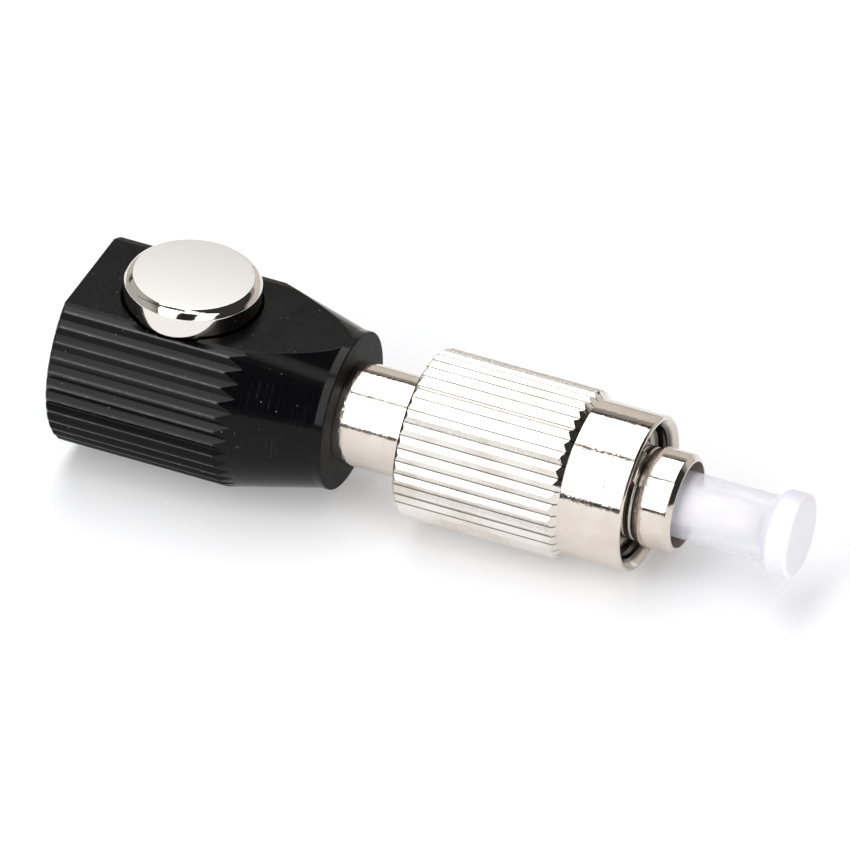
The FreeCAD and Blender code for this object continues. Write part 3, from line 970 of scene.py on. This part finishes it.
shader, place, axes = start_finish("tube_plastic")
grain = noise(place, 5.0)
end_finish("tube_plastic", shader, {
    "Base Color": blend(grain, (0.8, 0.8, 0.78, 1), (0.88, 0.88, 0.86, 1)),
    "Roughness": 0.38 + grain * 0.1,
    "Normal": bump(grain, 0.1, 0.01 * MM),
})


def drawn_steel(slot, base, roughness):
    """Steel with fine lines along the way it was drawn."""
    shader, place, axes = start_finish(slot)
    lines = noise(stretch(place, (1.5, 24.0, 24.0)), 1.0, detail=3.0)
    end_finish(slot, shader, {
        "Base Color": blend(lines, tuple(0.85 * part for part in base) + (1,), base + (1,)),
        "Metallic": 1.0,
        "Roughness": roughness + (lines - 0.5) * 0.15,
        "Normal": bump(lines, 0.2, 0.005 * MM),
    })


drawn_steel("spring_steel", (0.5, 0.5, 0.5), 0.3)
drawn_steel("tube_steel", (0.62, 0.62, 0.61), 0.24)

# %% Dress every piece
slot_of_node = {part["node"]: part["material_slot"] for part in frame["record"]["subparts"]}
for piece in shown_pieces():
    slot = piece.get("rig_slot") or slot_of_node[piece.name]
    if not piece.data.materials:
        piece.data.materials.append(FINISHES[slot])
    for number in range(len(piece.data.materials)):
        piece.data.materials[number] = FINISHES[slot]
    print(piece.name, "is finished in", slot)

# %% [markdown]
# ## Floor, light and camera
# The adapter lies on a white table, nose down, on the front edge of its serrations and of the nut's
# grip. So the floor leans, and not the adapter. A share of the table glows for rays that look at it,
# which keeps it white and its shadow soft.

# %% Lay the floor
FLOOR_SIZE = 3.0
floor_slope = (nut_low[2] - body_low[2]) / (KNURL_FRONT - SERRATED_LENGTH)
floor_x = FLOOR_SIZE / 2 * np.array([-1, 1, 1, -1]) / MM
floor_y = FLOOR_SIZE / 2 * np.array([-1, -1, 1, 1]) / MM
floor_z = body_low[2] + floor_slope * (floor_x - SERRATED_LENGTH)
floor_mesh = bpy.data.meshes.new("floor")
floor_mesh.from_pydata(np.stack([floor_x, floor_y, floor_z], axis=-1) * MM, [], [(0, 1, 2, 3)])
floor = bpy.data.objects.new("floor", floor_mesh)
bpy.context.scene.collection.objects.link(floor)
print("floor leans", round(float(np.degrees(np.arctan(floor_slope))), 2), "degrees")

# %% Paint the floor
TABLE_LIFT = 0.25
PAPER = (0.95, 0.95, 0.965, 1)
WHITE = (1, 1, 1, 1)


def rays(tree, *kinds):
    """For each kind of ray, such as Camera or Glossy, a field that is 1 for it and 0 for the others."""
    path = tree.nodes.new("ShaderNodeLightPath")
    return [Field(tree, path.outputs["Is " + kind + " Ray"]) for kind in kinds]


table = bpy.data.materials.new("white_table")
table.use_nodes = True
tree = table.node_tree
camera_ray, glossy_ray, through_ray = rays(tree, "Camera", "Glossy", "Transmission")
paper = camera_ray.add("BsdfDiffuse", {}, {"Color": PAPER})
glow = camera_ray.add("Emission", {}, {"Color": WHITE, "Strength": 1.0})
lift = (camera_ray + glossy_ray + through_ray) * TABLE_LIFT
mixed = camera_ray.add("MixShader", {}, {0: lift, 1: paper, 2: glow})
tree.links.new(mixed.socket, tree.nodes["Material Output"].inputs["Surface"])
floor_mesh.materials.append(table)
print("the table glows by", TABLE_LIFT)

# %% [markdown]
# Metal shows what is around it, so the light matters more than the metal. The camera sees a white world,
# and a mirror sees a dark room that is paler behind the body's rear face. In that room hangs a bank of
# soft panels, to the left of the camera and overhead, with a weaker one to the right and a narrow one
# that bridges them high up. The dark gap between them is what the black cone mirrors.

# %% Light the world
ROOM_LIGHT = (0.2, 0.2, 0.2, 1)
ROOM_IN_MIRRORS = (0.04, 0.039, 0.037, 1)
ROOM_BEHIND = (0.5, 0.49, 0.47, 1)

world = bpy.data.worlds.new("studio")
bpy.context.scene.world = world
world.use_nodes = True
tree = world.node_tree
camera_ray, glossy_ray = rays(tree, "Camera", "Glossy")
direction = Field(tree, tree.nodes.new("ShaderNodeTexCoord").outputs["Generated"])
along = direction.add("SeparateXYZ", {}, {0: direction})
mirrored = blend(ramp(along, -0.75, -0.4), ROOM_BEHIND, ROOM_IN_MIRRORS)
backdrop = blend(camera_ray, blend(glossy_ray, ROOM_LIGHT, mirrored), WHITE)
tree.links.new(backdrop.socket, tree.nodes["Background"].inputs["Color"])
print("room light", ROOM_LIGHT[0], "and in mirrors", ROOM_IN_MIRRORS[0], "to", ROOM_BEHIND[0])

# %% Hang the panels
PANEL_DISTANCE = 0.3
KEY_RADIANCE = 3.6
FILL_RADIANCE = 2.0
PANELS = {
    "overhead_panel": (-165, 0, 78, 136.5, KEY_RADIANCE),
    "front_panel": (-165, -7, 5, 75, KEY_RADIANCE),
    "right_panel": (113, 350, 5, 75, FILL_RADIANCE),
    "bridge_panel": (0, 110, 64, 80, FILL_RADIANCE),
}


def panel(name, left, right, start, end, radiance):
    """A soft panel from left to right along X, in millimetres, that fills the angles from start to end,
    in degrees up from the camera's side, as seen from the axis."""
    middle, half = np.radians((start + end) / 2), np.radians((end - start) / 2)
    size = ((right - left) * MM, 2 * PANEL_DISTANCE * np.tan(half))
    lamp = bpy.data.lights.new(name, "AREA")
    lamp.shape, lamp.size, lamp.size_y = "RECTANGLE", size[0], size[1]
    lamp.energy = radiance * np.pi * size[0] * size[1]
    holder = bpy.data.objects.new(name, lamp)
    toward = Vector((0, -np.cos(middle), np.sin(middle)))
    side = Vector((1, 0, 0))
    turn = Matrix((side, toward.cross(side), toward)).transposed().to_4x4()
    where = Vector(((left + right) / 2 * MM, 0, 0)) + toward * PANEL_DISTANCE
    holder.matrix_world = Matrix.Translation(where) @ turn
    holder.visible_camera = False
    bpy.context.scene.collection.objects.link(holder)
    print(name, "radiance", radiance, "size", np.round(size, 3))


for name, place_and_light in PANELS.items():
    panel(name, *place_and_light)

# %% [markdown]
# Panels have black edges, and the camera stands in a dark gap between the front one and the right one.
# Polished metal and the black cone show all of that, so a few cards stand in for it. Two grey cards are
# the far wall and the shade at its foot.

# %% Stand the cards
CARD_DISTANCE = 0.285
CARD_ROUGHNESS = 0.9
BLACK = (0.005, 0.005, 0.005, 1)
SHADE_GREY = (0.17, 0.16, 0.145, 1)
WALL_GREY = (0.42, 0.4, 0.37, 1)
WALL_GLOW = 0.8
CARDS = {
    "far_rim": (-600, 150, 136, 143, BLACK, 0),
    "panel_gap": (-600, 0, 74, 78.8, BLACK, 0),
    "near_rim": (-600, 350, -4, 5.5, BLACK, 0),
    "camera_gap": (-7, 113, 0, 58, BLACK, 0),
    "far_shade": (-600, 600, 143, 152, SHADE_GREY, WALL_GLOW),
    "far_wall": (-600, 600, 152, 179, WALL_GREY, WALL_GLOW),
}


def card(name, left, right, start, end, colour, glow):
    """A flat card from left to right along X, in millimetres, between two angles up from the camera's
    side. The camera looks through it, and mirrors show it."""
    turns = np.radians([start, start, end, end])
    across = np.array([left, right, right, left]) * MM
    corners = np.stack([across, -CARD_DISTANCE * np.cos(turns), CARD_DISTANCE * np.sin(turns)], axis=-1)
    mesh = bpy.data.meshes.new(name)
    mesh.from_pydata(corners, [], [(0, 1, 2, 3)])
    material = bpy.data.materials.new(name)
    material.use_nodes = True
    set_sockets(material.node_tree.nodes["Principled BSDF"], {
        "Base Color": colour,
        "Roughness": CARD_ROUGHNESS,
        "Emission Color": colour,
        "Emission Strength": glow,
    })
    mesh.materials.append(material)
    sheet = bpy.data.objects.new(name, mesh)
    bpy.context.scene.collection.objects.link(sheet)
    sheet.visible_camera = sheet.visible_diffuse = False
    sheet.visible_shadow = sheet.visible_transmission = False


for name, place_and_look in CARDS.items():
    card(name, *place_and_look)
print("cards:", ", ".join(CARDS))

# %% [markdown]
# The camera stands far off with a long lens, so that the adapter's lines stay nearly parallel. Its place
# and focal length were fitted to the object's outlines.

# %% Set the camera
TARGET = Vector((21.4856, 0, 0.4544)) * MM
CAMERA_DISTANCE = 1.3857
FOCAL_PIXELS = 23827.8
IMAGE_PIXELS = 850
camera_right = Vector((0.9221, 0.3838, 0.0504))
camera_back = Vector((0.2884, -0.7681, 0.5717))
camera_up = camera_back.cross(camera_right)

lens = bpy.data.cameras.new("camera")
lens.lens = FOCAL_PIXELS / IMAGE_PIXELS * lens.sensor_width
camera = bpy.data.objects.new("camera", lens)
bpy.context.scene.collection.objects.link(camera)
turn = Matrix((camera_right, camera_up, camera_back)).transposed().to_4x4()
camera.matrix_world = Matrix.Translation(TARGET + camera_back * CAMERA_DISTANCE) @ turn
bpy.context.scene.camera = camera
bpy.context.scene.view_settings.view_transform = "Standard"
print("lens", round(lens.lens, 1), "mm")
